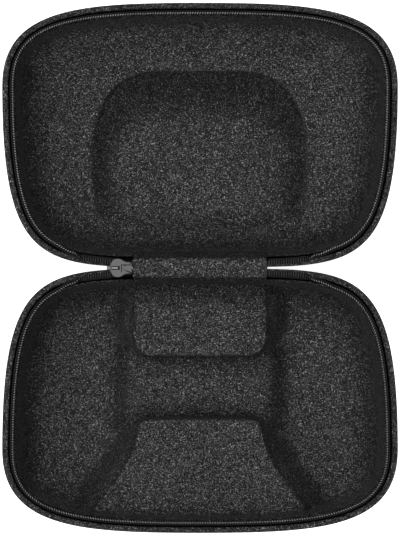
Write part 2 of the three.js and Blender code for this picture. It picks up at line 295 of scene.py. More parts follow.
def between(top, foot, x, y):
    """0 within the top outline, 1 outside the foot outline, and even between."""
    out, into = distance(top, x, y), -distance(foot, x, y)
    share = np.clip(out, 0, None) / np.clip(np.clip(out, 0, None) + np.clip(into, 0, None), 1e-6, None)
    return np.where(into <= 0, 1.0, np.where(out <= 0, 0.0, share))


def fall(t):
    """From 1 at the top edge to 0 at the foot, steepest above the middle."""
    return 1 - smoothstep(np.clip(t, 0.0, 1.0) ** 0.8)


def soft_max(a, b, k):
    h = np.clip(0.5 + 0.5 * (a - b) / k, 0, 1)
    return b + (a - b) * h + k * h * (1 - h)


UPPER_TOP = rounded([(35, -47.0, 10), (35, -30, 8), (34.5, -2, 3)])
UPPER_FOOT = rounded([(38, -49.2, 8), (55, -36, 12), (55, 4, 3)])
BRIDGE_TOP = rounded([(35, -40, 2), (35, -90, 2)])
BRIDGE_FOOT = rounded([(54, -36, 2), (54, -94, 2)])
LOWER_TOP = rounded([(32.5, -81.6, 6), (34, -95, 8), (43, -113, 10), (58, -131, 6), (58, -146, 3)])
LOWER_FOOT = rounded([(36, -79.6, 6), (52, -92, 10), (66, -112, 14), (86, -134, 6), (86, -150, 3)])
ARCH = rounded([(33, 107.4, 10), (49, 98.5, 9), (57.5, 80, 10), (59, 56, 8), (55, 16, 6)])
PLATEAU = rounded([(20, 62, 10), (32, 47, 9), (30, 27, 8)])
BASE_PADS = [(UPPER_TOP, UPPER_FOOT), (BRIDGE_TOP, BRIDGE_FOOT), (LOWER_TOP, LOWER_FOOT)]
UPPER_NEAR_FOLD = 23.5
UPPER_RISE = 8.0
LOWER_HEIGHT = 30.0
LOWER_DROP = 6.5
BRIDGE_HEIGHT = 18.0


def base_relief(x, y):
    """Height of the insert: two islands with a bridge between them, over the wells."""
    low = LINING_BACK - 3
    upper = UPPER_NEAR_FOLD + UPPER_RISE * smoothstep((-8 - y) / 36)
    islands = low + (upper - low) * fall(between(UPPER_TOP, UPPER_FOOT, x, y))
    deep = LOWER_HEIGHT - LOWER_DROP * smoothstep((-90 - y) / 40)
    lower = low + (deep - low) * fall(between(LOWER_TOP, LOWER_FOOT, x, y))
    bridge = low + (BRIDGE_HEIGHT - low) * fall(between(BRIDGE_TOP, BRIDGE_FOOT, x, y))
    return soft_max(soft_max(islands, lower, 2.0), bridge, 5.0)


def lid_relief(x, y):
    """Height of the lid's lining over its own flat floor."""
    edge = distance(ARCH, x, y)
    fade = smoothstep((y - 16) / 22)
    step = -PANEL_DROP * smoothstep((0.5 - edge) / 1.2) * fade
    rise = 6.2 * (1 - smoothstep((between(PLATEAU, ARCH, x, y) - 0.02) / 0.9))
    rise = rise * smoothstep((y - 12) / 16)
    return step + rise


def lid_painted_shade(x, y):
    """Painted shade on the lid's felt, 0 to 1: most just inside the arch's edge."""
    inside = -distance(ARCH, x, y)
    far = smoothstep((y - 62) / 30)
    deep = 1 - smoothstep((inside - 3 - 3 * far) / (16 + 24 * far))
    soft = 3.2 - 2.5 * far
    return smoothstep((inside + soft) / (2 * soft)) * deep * smoothstep((y - 14) / 24)


def base_painted_shade(x, y):
    """Painted shade on the insert: the islands' flanks, the foot of their fronts, and by the fold."""
    shares = [between(top, foot, x, y) for top, foot in BASE_PADS]
    flank = np.minimum.reduce(shares)
    flank = 0.8 * smoothstep(flank / 0.4) * (1 - smoothstep((flank - 0.4) / 0.6))
    upper, lower = distance(UPPER_TOP, x, y), distance(LOWER_TOP, x, y)
    front = np.maximum(np.exp(-np.abs(upper - 1.2) / 4.0), np.exp(-np.abs(lower - 0.8) / 5.0))
    front = front * (upper > 0) * (lower > 0)
    fold = 1 - smoothstep((-y - 5) / 10)
    return np.maximum(np.maximum(flank, front), 0.9 * fold)


def wall_painted_shade(inset, y):
    """Painted shade on the walls, reaching less far down them at the far ends."""
    far = smoothstep((np.abs(y) - 100) / 25)
    return 0.8 * (1 - smoothstep((inset - 11 + 8 * far) / (14 - 2 * far)))


def panel_relief(x, y):
    """How far the lid's outside stands out, 0 to 1."""
    return smoothstep((0.9 - distance(ARCH, x, y)) / 1.4) * smoothstep((y - 17) / 5)


# ---------------------------------------------------------------- materials
def material(name):
    made = bpy.data.materials.new(name)
    made.use_nodes = True
    tree = made.node_tree
    tree.nodes.clear()
    output = tree.nodes.new("ShaderNodeOutputMaterial")
    shader = tree.nodes.new("ShaderNodeBsdfPrincipled")
    tree.links.new(shader.outputs[0], output.inputs[0])
    return made, tree, shader


def node(tree, kind, **values):
    """A new node; i0, i1 and so on are its inputs by number."""
    made = tree.nodes.new(kind)
    for key, value in values.items():
        numbered = key[0] == "i" and key[1:].isdigit()
        if isinstance(value, bpy.types.NodeSocket):
            tree.links.new(value, made.inputs[int(key[1:]) if numbered else key])
        elif numbered:
            made.inputs[int(key[1:])].default_value = value
        elif key in made.inputs:
            made.inputs[key].default_value = value
        else:
            setattr(made, key, value)
    return made


def scaled(tree, coordinates, scale, turn=(0, 0, 0), shift=(0, 0, 0)):
    made = node(tree, "ShaderNodeMapping", i0=coordinates)
    made.inputs["Scale"].default_value = scale
    made.inputs["Rotation"].default_value = turn
    made.inputs["Location"].default_value = shift
    return made.outputs[0]


def noise(tree, coordinates, detail=2.0, rough=0.5, scale=1.0):
    made = node(tree, "ShaderNodeTexNoise", i0=coordinates)
    made.inputs["Scale"].default_value = scale
    made.inputs["Detail"].default_value = detail
    made.inputs["Roughness"].default_value = rough
    return made.outputs[0]


def ranged(tree, value, low, high, to_low=0.0, to_high=1.0, smooth=True):
    made = node(tree, "ShaderNodeMapRange", i0=value, i1=low, i2=high, i3=to_low, i4=to_high)
    made.interpolation_type = "SMOOTHSTEP" if smooth else "LINEAR"
    return made.outputs[0]


def calc(tree, operation, a, b=0.0):
    made = node(tree, "ShaderNodeMath", operation=operation)
    for socket, value in ((made.inputs[0], a), (made.inputs[1], b)):
        if isinstance(value, bpy.types.NodeSocket):
            tree.links.new(value, socket)
        else:
            socket.default_value = value
    return made.outputs[0]


def mixed(tree, factor, a, b):
    made = node(tree, "ShaderNodeMix", data_type="RGBA")
    for socket, value in ((made.inputs[0], factor), (made.inputs[6], a), (made.inputs[7], b)):
        if isinstance(value, bpy.types.NodeSocket):
            tree.links.new(value, socket)
        elif isinstance(value, tuple):
            socket.default_value = (*value, 1.0)
        else:
            socket.default_value = value
    return made.outputs[2]


def bumped(tree, shader, height, strength, depth):
    made = node(tree, "ShaderNodeBump")
    made.inputs["Strength"].default_value = strength
    made.inputs["Distance"].default_value = depth
    tree.links.new(height, made.inputs["Height"])
    tree.links.new(made.outputs[0], shader.inputs["Normal"])


FIBRE_TURNS = [
    (0.3, 0.2, 0.1),
    (1.2, 0.5, 0.9),
    (0.4, 1.3, 1.7),
    (2.1, 0.8, 2.5),
    (0.9, 2.2, 0.5),
]


def felt(name, dark, pale, speck):
    """Melange felt: dark and pale fibres lying every way, with a few whitish ones. Where the
    second UV value is high, painted shade darkens its colour."""
    made, tree, shader = material(name)
    where = node(tree, "ShaderNodeTexCoord").outputs["Object"]
    wander = node(tree, "ShaderNodeTexNoise", i0=where)
    wander.inputs["Scale"].default_value = 260.0
    wander.inputs["Detail"].default_value = 1.0
    offset = node(tree, "ShaderNodeVectorMath", operation="SCALE", i0=wander.outputs["Color"])
    offset.inputs["Scale"].default_value = 0.0022
    moved = node(tree, "ShaderNodeVectorMath", operation="ADD", i0=where, i1=offset.outputs[0])
    bent = moved.outputs[0]
    fibres = None
    whites = None
    for index, turn in enumerate(FIBRE_TURNS):
        turned = scaled(tree, bent, (1.0, 1.0, 1.0), turn)
        shift = (index * 3.1, index * 1.7, index * 0.9)
        along = scaled(tree, turned, (480.0, 1800.0, 1800.0), shift=shift)
        strand = noise(tree, along, detail=1.0, rough=0.4)
        pale_strand = ranged(tree, strand, 0.5, 0.7)
        white_strand = ranged(tree, strand, 0.67, 0.76)
        fibres = pale_strand if fibres is None else calc(tree, "MAXIMUM", fibres, pale_strand)
        whites = white_strand if whites is None else calc(tree, "MAXIMUM", whites, white_strand)
    clouds = noise(tree, scaled(tree, where, (170.0, 170.0, 170.0)), detail=3.0, rough=0.6)
    ground = mixed(tree, fibres, dark, pale)
    patches = ranged(tree, clouds, 0.3, 0.7, 0.0, 0.45)
    mottled = mixed(tree, patches, ground, tuple(0.55 * c for c in dark))
    loose = mixed(tree, whites, mottled, speck)
    marks = node(tree, "ShaderNodeTexCoord").outputs["UV"]
    # second UV value: painted shade mask
    painted_shade = node(tree, "ShaderNodeSeparateXYZ", i0=marks).outputs[1]
    share = calc(tree, "MULTIPLY", painted_shade, 0.66)
    # painted shade: mixed up to 0.66 of the way towards a darker felt colour
    colour = mixed(tree, share, loose, tuple(0.4 * c for c in dark))
    tree.links.new(colour, shader.inputs["Base Color"])
    shader.inputs["Roughness"].default_value = 0.95
    shader.inputs["Specular IOR Level"].default_value = 0.04
    shader.inputs["Sheen Weight"].default_value = 0.02
    shader.inputs["Sheen Roughness"].default_value = 0.5
    height = calc(tree, "ADD", fibres, calc(tree, "MULTIPLY", clouds, 1.5))
    bumped(tree, shader, height, 0.35, 0.0004)
    return made


def woven(name, dark, pale):
    """Zip tape: a fine herringbone along the tape, read from its own length and width."""
    made, tree, shader = material(name)
    where = node(tree, "ShaderNodeTexCoord").outputs["UV"]
    split = node(tree, "ShaderNodeSeparateXYZ", i0=where)
    along, across = split.outputs[0], split.outputs[1]
    slope = calc(tree, "PINGPONG", calc(tree, "MULTIPLY", across, 1.0), 1.6)
    slant = calc(tree, "ADD", along, slope)
    rib = calc(tree, "SINE", calc(tree, "MULTIPLY", slant, 2 * math.pi / 0.62))
    pick = calc(tree, "SINE", calc(tree, "MULTIPLY", across, 2 * math.pi / 0.42))
    height = calc(tree, "ADD", rib, calc(tree, "MULTIPLY", pick, 0.5))
    colour = mixed(tree, ranged(tree, height, -1.2, 1.2), dark, pale)
    tree.links.new(colour, shader.inputs["Base Color"])
    shader.inputs["Roughness"].default_value = 0.9
    shader.inputs["Specular IOR Level"].default_value = 0.04
    bumped(tree, shader, height, 0.6, 0.0001)
    return made


def plain(name, colour, rough, metallic=0.0, grain=0.0, grain_size=2500.0, specular=0.5):
    made, tree, shader = material(name)
    where = node(tree, "ShaderNodeTexCoord").outputs["Object"]
    cloud = noise(tree, scaled(tree, where, (grain_size,) * 3), detail=3.0, rough=0.6)
    darker = tuple(c * (1 - grain) for c in colour)
    shade = mixed(tree, ranged(tree, cloud, 0.35, 0.65), darker, colour)
    tree.links.new(shade, shader.inputs["Base Color"])
    gloss = ranged(tree, cloud, 0.3, 0.7, rough * 0.9, min(1.0, rough * 1.15))
    tree.links.new(gloss, shader.inputs["Roughness"])
    shader.inputs["Metallic"].default_value = metallic
    shader.inputs["Specular IOR Level"].default_value = specular
    bumped(tree, shader, cloud, 0.15 if grain else 0.05, 0.0001)
    return made


def nylon(name, legs, heads):
    """Coil monofilament: dull dark legs, and a painted highlight on the heads, read from the coil's own
    UVs.
    """
    made, tree, shader = material(name)
    where = node(tree, "ShaderNodeTexCoord").outputs["UV"]
    head = node(tree, "ShaderNodeSeparateXYZ", i0=where).outputs[1]
    place = node(tree, "ShaderNodeTexCoord").outputs["Object"]
    cloud = noise(tree, place, detail=1.0, scale=900.0)
    # painted highlight on the heads, its strength varied by noise
    share = calc(tree, "MULTIPLY", head, ranged(tree, cloud, 0.3, 0.6, 0.55, 1.0))
    tree.links.new(mixed(tree, share, legs, heads), shader.inputs["Base Color"])
    shader.inputs["Roughness"].default_value = 0.45
    shader.inputs["Specular IOR Level"].default_value = 0.08
    return made


FELT = felt(
    "grey_melange_felt", (0.0065, 0.0065, 0.0067), (0.042, 0.042, 0.0427), (0.215, 0.215, 0.218)
)
TAPE_CLOTH = woven("zip_tape_weave", (0.006, 0.006, 0.0062), (0.022, 0.022, 0.0225))
# the pale head colour is a painted highlight
NYLON = nylon("coil_nylon", (0.003, 0.003, 0.0032), (0.68, 0.68, 0.69))
# near-black foam: the core's own dark colour, deepened as painted shade for the deep gap between felt
# edge and zip tape
FOAM = plain("shell_foam", (0.004, 0.004, 0.0042), 0.9, grain=0.4, grain_size=900.0, specular=0.03)
METAL = plain("slider_zinc", (0.09, 0.09, 0.09), 0.5, metallic=0.35, grain=0.12)
BRIGHT = plain("lock_bar_steel", (0.2, 0.2, 0.2), 0.45, metallic=0.35, grain=0.1)
# near-black painted shade for the slider's slot and grooves
RECESS = plain("recess_painted_shade", (0.006, 0.006, 0.006), 0.8, grain=0.2, specular=0.05)
LEATHER = plain("pull_leather", (0.26, 0.165, 0.1), 0.6, grain=0.35, grain_size=1400.0)
THREAD = plain("pull_thread", (0.42, 0.32, 0.2), 0.8, grain=0.3)


# ---------------------------------------------------------------- the two halves
def ring(side, inset, z):
    point, inward = loop(side)
    flat = point + inward * inset
    return np.column_stack([flat, np.full(len(flat), z)])


def bowl_section(depth, floor, steps=10):
    """Insets and heights from the flat bottom up the rounded corner, without the wall above it."""
    middle = CORNER + floor
    radius = CORNER - depth
    angles = np.linspace(math.pi / 2, 0, steps)
    edge = float(lean(middle)) + CORNER
    return [(edge - radius * math.cos(a), middle - radius * math.sin(a)) for a in angles]


def spread(side, inset, z_at, steps, stop=0.0):
    """Rings from an inset ring in to the middle, or the other way if reversed."""
    outer = ring(side, inset, 0.0)
    middle = np.array([0.0, side * 71.0])
    rings = []
    for share in np.linspace(1, stop, steps + 1)[1:]:
        flat = middle + (outer[:, :2] - middle) * share
        rings.append(np.column_stack([flat, z_at(flat[:, 0], flat[:, 1])]))
    return rings


def flat_at(z):
    return lambda x, y: np.full(x.shape, float(z))


def notch(rings, low):
    """Lowers what stands in the way of the fold and of the slider's run."""
    for r in rings:
        along = smoothstep((r[:, 0] + 64.0) / 2.5) * (1 - smoothstep((r[:, 0] - 36.2) / 1.0))
        across = 1 - smoothstep((np.abs(r[:, 1]) - 4.8) / 0.5)
        share = along * across
        r[:, 2] = np.where(r[:, 2] > low, r[:, 2] + (low - r[:, 2]) * share, r[:, 2])
    return rings


def outer_cover(name, side):
    lid = side > 0
    floor = PANEL_DROP if lid else 0.0

    def outside(x, y):
        if lid:
            return PANEL_DROP * (1 - panel_relief(x, y))
        return np.zeros(x.shape)

    rings = list(reversed(spread(side, 23.4, outside, 44, stop=0.01)))
    for inset, z in bowl_section(0.0, floor, 14):
        r = ring(side, inset, z)
        if lid:
            under = 1 if z < floor + 1.5 else 0
            r[:, 2] -= PANEL_DROP * panel_relief(r[:, 0], r[:, 1]) * under
        rings.append(r)
    for z in np.linspace(CORNER + floor + 2.0, RIM - 1.3, 6):
        rings.append(ring(side, float(lean(z)), z))
    for inset, z in [
        (0.02, RIM - 0.9), (0.15, RIM - 0.5), (0.42, RIM - 0.2), (0.85, RIM - 0.04), (1.4, RIM),
        (2.2, RIM), (2.75, RIM - 0.05), (3.05, RIM - 0.25), (3.2, RIM - 0.6), (3.2, RIM - 1.0),
        (2.9, RIM - 1.2), (1.5, RIM - 1.25),
    ]:
        rings.append(ring(side, inset, z))
    for z in (RIM - 2.0, CORNER + floor + 1.0):
        rings.append(ring(side, COVER + float(lean(z)), z))
    for inset, z in reversed(bowl_section(COVER, floor, 5)):
        rings.append(ring(side, inset, z))
    rings += spread(side, 24.0, flat_at(floor + COVER), 2, stop=0.3)
    notch(rings, RIM - 1.6)
    obj = lofted(name, rings, FELT)
    if lid:
        at = np.array([v.co for v in obj.data.vertices]) / MM
        edge = distance(ARCH, at[:, 0], at[:, 1])
        # painted shade in the crease at the foot of the lid panel's edge
        painted_crease_shade = np.exp(-np.abs(edge - 0.4) / 1.1) * (at[:, 2] < 4.0)
        painted_crease_shade = 0.85 * painted_crease_shade * smoothstep((at[:, 1] - 17) / 6)
        mark(obj, np.column_stack([np.zeros(len(at)), painted_crease_shade]))
    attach(obj, "lid" if lid else "base")
    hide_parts(name)
    return obj


def lining(name, side):
    lid = side > 0
    floor = PANEL_DROP if lid else 0.0
    body = "lid" if lid else "base"

    def height(x, y):
        if lid:
            return PANEL_DROP + LINING_BACK + lid_relief(x, y)
        return soft_max(np.full(x.shape, LINING_BACK), base_relief(x, y), 1.5)

    rings = list(reversed(spread(side, 22.6, height, 100, stop=0.004)))
    insets = [22.6 + 0.6 * (len(rings) - k) for k in range(len(rings))]
    low_part = bowl_section(LINING_BACK, floor, 26)[1:]
    walls = np.linspace(CORNER + floor, RIM - 3.0, 18)[1:]
    high_part = [(LINING_BACK + float(lean(z)), z) for z in walls]
    lip = [(6.55, RIM - 2.4), (6.35, RIM - 2.1), (6.05, RIM - 1.98), (5.7, RIM - 2.1), (5.5, RIM - 2.5)]
    for inset, z in low_part + high_part:
        r = ring(side, inset, z)
        if lid:
            r[:, 2] += lid_relief(r[:, 0], r[:, 1]) * np.clip((floor + 13 - z) / 6, 0, 1)
        else:
            r[:, 2] = soft_max(r[:, 2], base_relief(r[:, 0], r[:, 1]), 1.0)
        rings.append(r)
    rings += [ring(side, inset, z) for inset, z in lip]
    for z in (RIM - 6.0, CORNER + floor):
        rings.append(ring(side, LINING_FACE + 0.1 + float(lean(z)), z))
    for inset, z in reversed(bowl_section(LINING_FACE + 0.1, floor, 6)):
        rings.append(ring(side, inset, z))
    back = floor + LINING_FACE + 0.1 - (2.9 if lid else 0)
    rings += spread(side, 23.5, flat_at(back), 2, stop=0.3)
    insets += [inset for inset, _ in low_part + high_part]
    insets += [0.0] * (len(rings) - len(insets))
    for r in rings:
        along = 1 - smoothstep((np.abs(r[:, 0]) - 35.0) / 1.5)
        share = along * (1 - smoothstep((np.abs(r[:, 1]) - 7.6) / 0.8))
        low = LINING_AT_FOLD
        r[:, 2] = np.where(r[:, 2] > low, r[:, 2] + (low - r[:, 2]) * share, r[:, 2])
    obj = lofted(name, rings, FELT)
    at = np.array([v.co for v in obj.data.vertices]) / MM
    # painted shade on the lining: flanks, creases, walls and by the fold, kept in the second UV value
    painted_shade = (lid_painted_shade if lid else base_painted_shade)(at[:, 0], at[:, 1])
    depth = np.append(np.repeat(insets, AROUND), [99.0, 99.0])
    painted_shade = np.maximum(painted_shade, wall_painted_shade(depth, at[:, 1]))
    mark(obj, np.column_stack([np.zeros(len(at)), painted_shade]))
    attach(obj, body)
    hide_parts(name)
    return obj


def shell_core(name, side):
    """Only its top edge shows, in the gap between the felt edge and the zip tape."""
    lid = side > 0
    floor = PANEL_DROP if lid else 0.0
    rings = list(reversed(spread(side, 23.0, flat_at(floor + 1.5), 2, stop=0.3)))
    rings += [ring(side, inset, z) for inset, z in bowl_section(1.5, floor, 6)]
    slope = float(lean(RIM - 9))
    for inset, z in [
        (1.5, CORE_TOP - 0.1), (1.7, CORE_TOP), (3.7, CORE_TOP), (3.9, CORE_TOP - 0.2),
        (3.9 + slope, RIM - 9.3), (5.1 + slope, RIM - 9.5),
    ]:
        rings.append(ring(side, inset, z))
    rings += [ring(side, inset, z) for inset, z in reversed(bowl_section(5.1, floor, 6))]
    rings += spread(side, 24.0, flat_at(5.0 if lid else 5.1), 2, stop=0.3)
    notch(rings, CORE_TOP - 0.5)
    obj = lofted(name, rings, FOAM)
    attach(obj, "lid" if lid else "base")
    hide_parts(name)
    return obj


for half, side in SIDES.items():
    outer_cover(f"{half}_outer_cover", side)
    shell_core(f"{half}_shell_core", side)
    lining("base_insert_tray" if side < 0 else "lid_lining", side)


# ---------------------------------------------------------------- zip
def row_middle(x):
    """Distance from the middle plane of the flat rows, which keep beside the felt's edge."""
    near = CURVE[: len(CURVE) // 2]
    edge = float(np.interp(x, near[:, 0], near[:, 1]))
    return edge + 2.35 + 0.5 * float(smoothstep((x - 36.0) / 26.0))


def rim_inset(s, start):
    """The rows come in to their full inset a little after they have turned upright."""
    return COIL_MIDDLE - 1.35 * (1 - float(smoothstep((s - start) / 12.0)))


def zip_path(side, upright_z, flat_z):
    """The coil's middle line from the fold's right end round the rim to its left end: points,
    inward directions, turn (0 flat, 1 upright), and the lengths at which the stretches meet."""
    points, inwards, turns = [], [], []
    marks = []
    for name in ("right", "left"):
        mirror, flat_end, twist_end = ENDS[name]
        stretch = []
        xs = np.linspace(CHAIN_START, flat_end, 40)
        close = 0.0 if name == "right" else 1.0
        for x in xs:
            narrow = close * (1 - float(smoothstep((x - 38.0) / 10.0)))
            row = row_middle(x) * (1 - narrow) + 1.66 * narrow
            stretch.append(((mirror * x, side * row, flat_z), (0.0, float(side), 0.0), 0.0))
        flat_count = len(stretch)
        start = np.array(stretch[-1][0])
        s0 = length_at(twist_end)
        point, inward = on_curve(s0)
        inset = rim_inset(s0, s0)
        across, along = point + inward * inset
        end = np.array([mirror * across, side * along, upright_z])
        way = np.array([mirror * inward[1], -side * inward[0], 0.0])
        reach = np.linalg.norm(end - start)
        leave = start - np.array(stretch[-2][0])
        leave /= np.linalg.norm(leave)
        for t in np.linspace(0, 1, 32)[1:]:
            h = (2 * t**3 - 3 * t**2 + 1, t**3 - 2 * t**2 + t, -2 * t**3 + 3 * t**2, t**3 - t**2)
            at = h[0] * start + h[1] * reach * leave + h[2] * end + h[3] * reach * way
            turn = float(smoothstep(t))
            normal = np.array([mirror * inward[0] * turn, side * (1 - turn + inward[1] * turn), 0.0])
            stretch.append((tuple(at), tuple(normal / np.linalg.norm(normal)), turn))
        twist_count = len(stretch)
        for s in np.linspace(s0, HALF_LENGTH, 300)[1:]:
            point, inward = on_curve(s)
            inset = rim_inset(s, s0)
            across, along = point + inward * inset
            at = (mirror * across, side * along, upright_z)
            stretch.append((at, (mirror * inward[0], side * inward[1], 0.0), 1.0))
        if name == "left":
            stretch = stretch[::-1][1:]
            marks += [len(points) + len(stretch) - twist_count, len(points) + len(stretch) - flat_count]
        else:
            marks += [flat_count - 1, twist_count - 1]
        for at, normal, turn in stretch:
            points.append(at)
            inwards.append(normal)
            turns.append(turn)
    points = np.array(points)
    lengths = np.concatenate([[0], np.cumsum(np.linalg.norm(np.diff(points, axis=0), axis=1))])
    return points, np.array(inwards), np.array(turns), lengths, [float(lengths[m]) for m in marks]


def frames(path, s):
    """Position, heads' way, face's way and path's way at lengths s."""
    points, inwards, turns, lengths, _ = path
    at = np.stack([np.interp(s, lengths, points[:, k]) for k in range(3)], -1)
    inward = np.stack([np.interp(s, lengths, inwards[:, k]) for k in range(3)], -1)
    inward /= np.linalg.norm(inward, axis=1)[:, None]
    angle = np.interp(s, lengths, turns) * math.pi / 2
    up = np.array([0.0, 0.0, 1.0])
    heads = -inward * np.cos(angle)[:, None] + up * np.sin(angle)[:, None]
    face = up * np.cos(angle)[:, None] + inward * np.sin(angle)[:, None]
    way = np.gradient(at, axis=0)
    way /= np.linalg.norm(way, axis=1)[:, None]
    return at, heads, face, way


def stretches(path):
    """Name part, start and end length of each stretch, from right to left."""
    end = path[3][-1]
    a, b, c, d = path[4]
    return [
        ("flat_right", 0.0, a), ("twist_right", a, b), ("rim", b, c),
        ("twist_left", c, d), ("flat_left", d, end),
    ]


def coil(name, path, start, end):
    """The wound monofilament: one turn for each tooth, with a painted highlight marked on its heads and
    on its upper legs where it lies flat.
    """
    loops = round((end - start) / TOOTH)
    per = 14
    t = np.linspace(0, loops, loops * per + 1)
    s = start + t / loops * (end - start)
    at, heads, face, way = frames(path, s)
    phase = t * 2 * math.pi
    turn = np.interp(s, path[3], path[2])
    long = np.sign(np.cos(phase)) * np.abs(np.cos(phase)) ** 0.75 * (1 + 0.12 * (1 - turn))
    thick = np.sign(np.sin(phase)) * np.abs(np.sin(phase)) ** 0.75
    line = at + heads * (long * (COIL_LONG - 0.33))[:, None]
    line = line + face * (thick * (COIL_THICK - 0.25))[:, None]
    line += way * (0.16 * np.sin(2 * phase))[:, None]
    along = np.gradient(line, axis=0)
    along /= np.linalg.norm(along, axis=1)[:, None]
    first = way - along * (way * along).sum(1)[:, None]
    first /= np.linalg.norm(first, axis=1)[:, None]
    second = np.cross(along, first)
    # painted highlight: the heads' crowns where the coil stands upright, and the upper legs where it
    # lies flat
    head = smoothstep((np.cos(phase) - 0.84) / 0.12) * turn**3
    pale = head + 0.12 * smoothstep(np.sin(phase) * 1.4) * (1 - turn)
    rings = []
    head_highlight = []
    sides = 8
    for k in range(sides):
        a = 2 * math.pi * k / sides
        head_highlight.append(pale * (1 - abs(math.cos(a))))
        rings.append(line + first * (math.cos(a) * 0.24) + second * (math.sin(a) * 0.25))
    rows = np.stack(rings, 1)
    obj = lofted(name, list(rows), NYLON)
    shine = np.column_stack([np.repeat(s, sides), np.stack(head_highlight, 1).ravel()])
    mark(obj, np.vstack([shine, shine[:1], shine[-1:]]))
    return obj


def strap(name, path, start, end, section, material, step=1.2):
    """A thin band; its closed section of (heads, face) offsets may change along it."""
    count = max(3, int((end - start) / step) + 1)
    s = np.linspace(start, end, count)
    at, heads, face, way = frames(path, s)
    rings = []
    marks = []
    for i in range(count):
        shape = section((s[i] - start) / (end - start), min(s[i] - start, end - s[i]))
        rings.append(at[i] + shape[:, :1] * heads[i] + shape[:, 1:] * face[i])
        marks.append(np.column_stack([np.full(len(shape), s[i]), shape[:, 0] + shape[:, 1]]))
    obj = lofted(name, rings, material)
    places = np.vstack(marks + [marks[0].mean(0, keepdims=True), marks[-1].mean(0, keepdims=True)])
    mark(obj, places)
    return obj


def seat(obj, half, part, stretch):
    """Hangs a stretch of the zip on its body; a twist only has its placement baked in."""
    if stretch == "rim":
        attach(obj, half)
        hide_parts(f"{half}_zip_{part}")
    elif stretch.startswith("flat"):
        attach(obj, "spine")
        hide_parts(f"spine_zip_{part}_{half}_{stretch[5:]}")
    else:
        if half == "base":
            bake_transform(obj)
        else:
            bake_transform(obj)
        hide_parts(f"{half}_zip_{part}_{stretch}")


def closed_band(line, thickness):
    """A closed section round a line of (heads, face) points, thickness to the back of it."""
    line = np.array(line, float)
    way = np.gradient(line, axis=0)
    way /= np.linalg.norm(way, axis=1)[:, None]
    normal = np.stack([way[:, 1], -way[:, 0]], 1)
    return np.vstack([line + normal * thickness / 2, (line - normal * thickness / 2)[::-1]])


# heads and face offsets from the coil's middle line
RIM_TAPE_LINE = np.array([
    (1.0, -0.95), (0.2, -1.0), (-0.8, -1.15), (-1.9, -1.45), (-3.0, -1.55),
    (-4.4, -1.4), (-6.5, -1.15), (-9.0, -0.95), (-11.8, -0.7),
])
FLAT_TAPE_LINE = np.array([
    (1.0, -0.95), (0.2, -1.0), (-0.4, -1.0), (-0.8, -1.02), (-1.1, -1.05),
    (-1.4, -1.1), (-1.7, -1.15), (-1.9, -1.2), (-2.05, -1.25),
])
FREE_TAPE_LINE = np.array([
    (1.0, -0.95), (0.2, -1.0), (-0.4, -1.02), (-0.9, -1.1), (-1.4, -1.2),
    (-1.8, -1.3), (-2.1, -1.35), (-2.4, -1.4), (-2.6, -1.4),
])
TAPE_THICK = 0.45


def tape_section(stretch):
    """The tape's section at a share of its stretch, and at a reach from the nearer end."""

    def section(share, reach):
        line, free = FLAT_TAPE_LINE, 0.0
        if stretch == "rim":
            line, free = RIM_TAPE_LINE, 1 - float(smoothstep(reach / 16.0))
        elif stretch.startswith("twist"):
            free = float(smoothstep(share if stretch == "twist_right" else 1 - share))
        return closed_band(line + (FREE_TAPE_LINE - line) * free, TAPE_THICK)

    return section


for half, side in SIDES.items():
    path = zip_path(side, COIL_Z, FLAT_COIL_Z)
    for stretch, start, end in stretches(path):
        seat(coil(f"{half}_zip_coil_{stretch}", path, start, end), half, "coil", stretch)
        section = tape_section(stretch)
        tape = strap(f"{half}_zip_tape_{stretch}", path, start, end, section, TAPE_CLOTH)
        seat(tape, half, "tape", stretch)


# ---------------------------------------------------------------- fold
def plank(name, half_x, half_y, z0, z1, edge, material, crown=0.0):
    """A flat strip with rounded edges, slightly crowned along its middle."""
    xs = np.linspace(-half_x, half_x, 90)
    rows = []
    outline = []
    turns = np.linspace(0, math.pi / 2, 5)
    for y in np.linspace(-1, 1, 13):
        outline.append((y * (half_y - edge), z1 + crown * (1 - y * y)))
    for t in turns[1:]:
        outline.append((half_y - edge + edge * math.sin(t), z1 - edge + edge * math.cos(t)))
    for t in turns:
        outline.append((half_y - edge + edge * math.cos(t), z0 + edge - edge * math.sin(t)))
    for y in np.linspace(1, -1, 7)[1:]:
        outline.append((y * (half_y - edge), z0))
    for t in turns[1:]:
        outline.append((-(half_y - edge) - edge * math.sin(t), z0 + edge - edge * math.cos(t)))
    for t in turns[:-1]:
        outline.append((-(half_y - edge) - edge * math.cos(t), z1 - edge + edge * math.sin(t)))
    outline = np.array(outline)
    middle = np.array([0.0, (z0 + z1) / 2])
    for x in xs:
        shrink = math.sqrt(max(0.05, 1 - max(0.0, (abs(x) - half_x + edge) / edge) ** 2))
        shape = middle + (outline - middle) * np.array([1.0 if shrink > 0.9 else 0.97, shrink])
        rows.append(np.column_stack([np.full(len(shape), x), shape]))
    return lofted(name, rows, material)


inner = plank("spine_inner_felt", 36.1, 4.55, RIM + 0.3, RIM + 1.45, 0.5, FELT, crown=0.05)
outer = plank("spine_outer_felt", 36.1, 4.55, RIM - 1.25, RIM - 0.1, 0.4, FELT)
for obj in (inner, outer):
    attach(obj, "spine")
    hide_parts(obj.name.replace("_look", ""))


